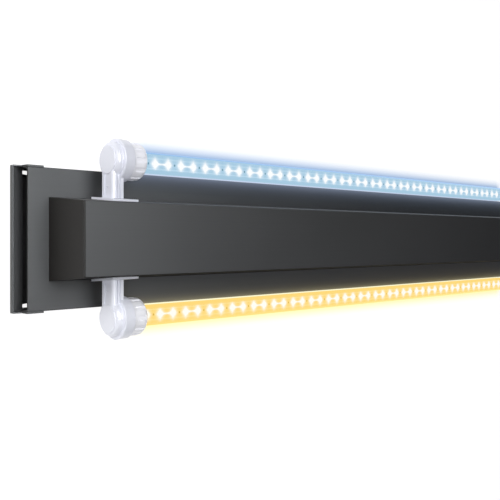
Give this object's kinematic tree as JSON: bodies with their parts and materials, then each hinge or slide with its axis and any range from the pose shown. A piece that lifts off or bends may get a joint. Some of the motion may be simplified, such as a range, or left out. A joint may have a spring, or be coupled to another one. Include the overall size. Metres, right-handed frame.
{
  "type": "led aquarium light",
  "caption": "LED aquarium light unit: wide flat profile, tapered driver housing, cool and warm tube lamps in splash-proof sockets beside it, and an adjustable slider on each end.",
  "frame": {"origin": "centre of the footprint on the surface that the unit lies on, back down, with its lamps up; in use it is turned over and hangs by its end sliders with the lamps shining down", "axes": "+X along the length towards the end with the cable inlet, +Y across to the cool lamp, +Z the way the lamps shine"},
  "size_m": [1.0734, 0.1934, 0.0956],
  "materials": {
    "anthracite_plastic": "satin, anthracite",
    "black_cover": "matt",
    "black_plastic": "fine satin",
    "brown_black_plastic": "satin, slightly brown black",
    "gland_plastic": "satin black nylon",
    "black_rubber": "matt",
    "white_plastic": "glossy white moulding",
    "seal_rubber": "pale grey silicone",
    "contact_plastic": "matt white",
    "tube_cool": "clear tube, lit cool white and blue",
    "tube_warm": "clear tube, lit warm white",
    "led_cool": "lit cool-white LED packages",
    "led_warm": "lit warm-white LED packages",
    "led_board_white": "white solder mask",
    "aluminium": "plain drawn",
    "brass": "plain",
    "steel": "plain",
    "green_board": "green solder mask",
    "ferrite": "dark ferrite",
    "capacitor_sleeve": "dark blue sleeve",
    "terminal_green": "green terminal",
    "lead_sheath": "pale grey sheath"
  },
  "bodies": {
    "unit": {"back_cover": "black_cover", "board_standoffs": "contact_plastic", "cable_gland": "gland_plastic", "capacitors": "capacitor_sleeve", "carrier_profile": "anthracite_plastic", "contact_insert_cool_left": "contact_plastic", "contact_insert_cool_right": "contact_plastic", "contact_insert_warm_left": "contact_plastic", "contact_insert_warm_right": "contact_plastic", "driver_board": "green_board", "driver_housing": "anthracite_plastic", "end_cap_gasket_left": "black_rubber", "end_cap_gasket_right": "black_rubber", "end_cap_left": "brown_black_plastic", "end_cap_right": "brown_black_plastic", "gland_nut": "gland_plastic", "heat_carrier_cool": "aluminium", "heat_carrier_warm": "aluminium", "heat_sink": "aluminium", "housing_screws": "steel", "lamp_cap_cool_left": "aluminium", "lamp_cap_cool_right": "aluminium", "lamp_cap_warm_left": "aluminium", "lamp_cap_warm_right": "aluminium", "lamp_leads": "lead_sheath", "lamp_pins_cool": "brass", "lamp_pins_warm": "brass", "lamp_tube_cool": "tube_cool", "lamp_tube_warm": "tube_warm", "led_board_cool": "led_board_white", "led_board_warm": "led_board_white", "led_chips_cool": "led_cool", "led_chips_warm": "led_warm", "socket_bracket_cool_left": "white_plastic", "socket_bracket_cool_right": "white_plastic", "socket_bracket_warm_left": "white_plastic", "socket_bracket_warm_right": "white_plastic", "socket_cap_cool_left": "white_plastic", "socket_cap_cool_right": "white_plastic", "socket_cap_warm_left": "white_plastic", "socket_cap_warm_right": "white_plastic", "terminal_blocks": "terminal_green", "transformer": "ferrite"},
    "left_slider": {"end_slider_left": "black_plastic"},
    "right_slider": {"end_slider_right": "black_plastic"},
    "cool_left_seal": {"seal_ring_cool_left": "seal_rubber"},
    "cool_left_nut": {"ring_nut_cool_left": "white_plastic"},
    "cool_right_seal": {"seal_ring_cool_right": "seal_rubber"},
    "cool_right_nut": {"ring_nut_cool_right": "white_plastic"},
    "warm_left_seal": {"seal_ring_warm_left": "seal_rubber"},
    "warm_left_nut": {"ring_nut_warm_left": "white_plastic"},
    "warm_right_seal": {"seal_ring_warm_right": "seal_rubber"},
    "warm_right_nut": {"ring_nut_warm_right": "white_plastic"}
  },
  "joints": [
    {"name": "left_slider_travel", "type": "slide", "parent": "unit", "child": "left_slider", "axis": [-1, 0, 0], "range_m": [0, 0.03]},
    {"name": "right_slider_travel", "type": "slide", "parent": "unit", "child": "right_slider", "axis": [1, 0, 0], "range_m": [0, 0.03]},
    {"name": "cool_left_seal_travel", "type": "slide", "parent": "unit", "child": "cool_left_seal", "axis": [1, 0, 0], "range_m": [0, 0.0119]},
    {"name": "cool_left_nut_turn", "type": "hinge", "parent": "cool_left_seal", "child": "cool_left_nut", "pos_m": [-0.434, 0.0758, 0.0634], "axis": [1, 0, 0], "range_deg": [0, 720]},
    {"name": "cool_right_seal_travel", "type": "slide", "parent": "unit", "child": "cool_right_seal", "axis": [-1, 0, 0], "range_m": [0, 0.0119]},
    {"name": "cool_right_nut_turn", "type": "hinge", "parent": "cool_right_seal", "child": "cool_right_nut", "pos_m": [0.434, 0.0758, 0.0634], "axis": [-1, 0, 0], "range_deg": [0, 720]},
    {"name": "warm_left_seal_travel", "type": "slide", "parent": "unit", "child": "warm_left_seal", "axis": [1, 0, 0], "range_m": [0, 0.0119]},
    {"name": "warm_left_nut_turn", "type": "hinge", "parent": "warm_left_seal", "child": "warm_left_nut", "pos_m": [-0.434, -0.0758, 0.0634], "axis": [1, 0, 0], "range_deg": [0, 720]},
    {"name": "warm_right_seal_travel", "type": "slide", "parent": "unit", "child": "warm_right_seal", "axis": [-1, 0, 0], "range_m": [0, 0.0119]},
    {"name": "warm_right_nut_turn", "type": "hinge", "parent": "warm_right_seal", "child": "warm_right_nut", "pos_m": [0.434, -0.0758, 0.0634], "axis": [-1, 0, 0], "range_deg": [0, 720]}
  ],
  "couplings": [
    {"joint": "cool_left_nut_turn", "follows": "cool_left_seal_travel", "rad_per_m": 1052.6},
    {"joint": "cool_right_nut_turn", "follows": "cool_right_seal_travel", "rad_per_m": 1052.6},
    {"joint": "warm_left_nut_turn", "follows": "warm_left_seal_travel", "rad_per_m": 1052.6},
    {"joint": "warm_right_nut_turn", "follows": "warm_right_seal_travel", "rad_per_m": 1052.6}
  ]
}
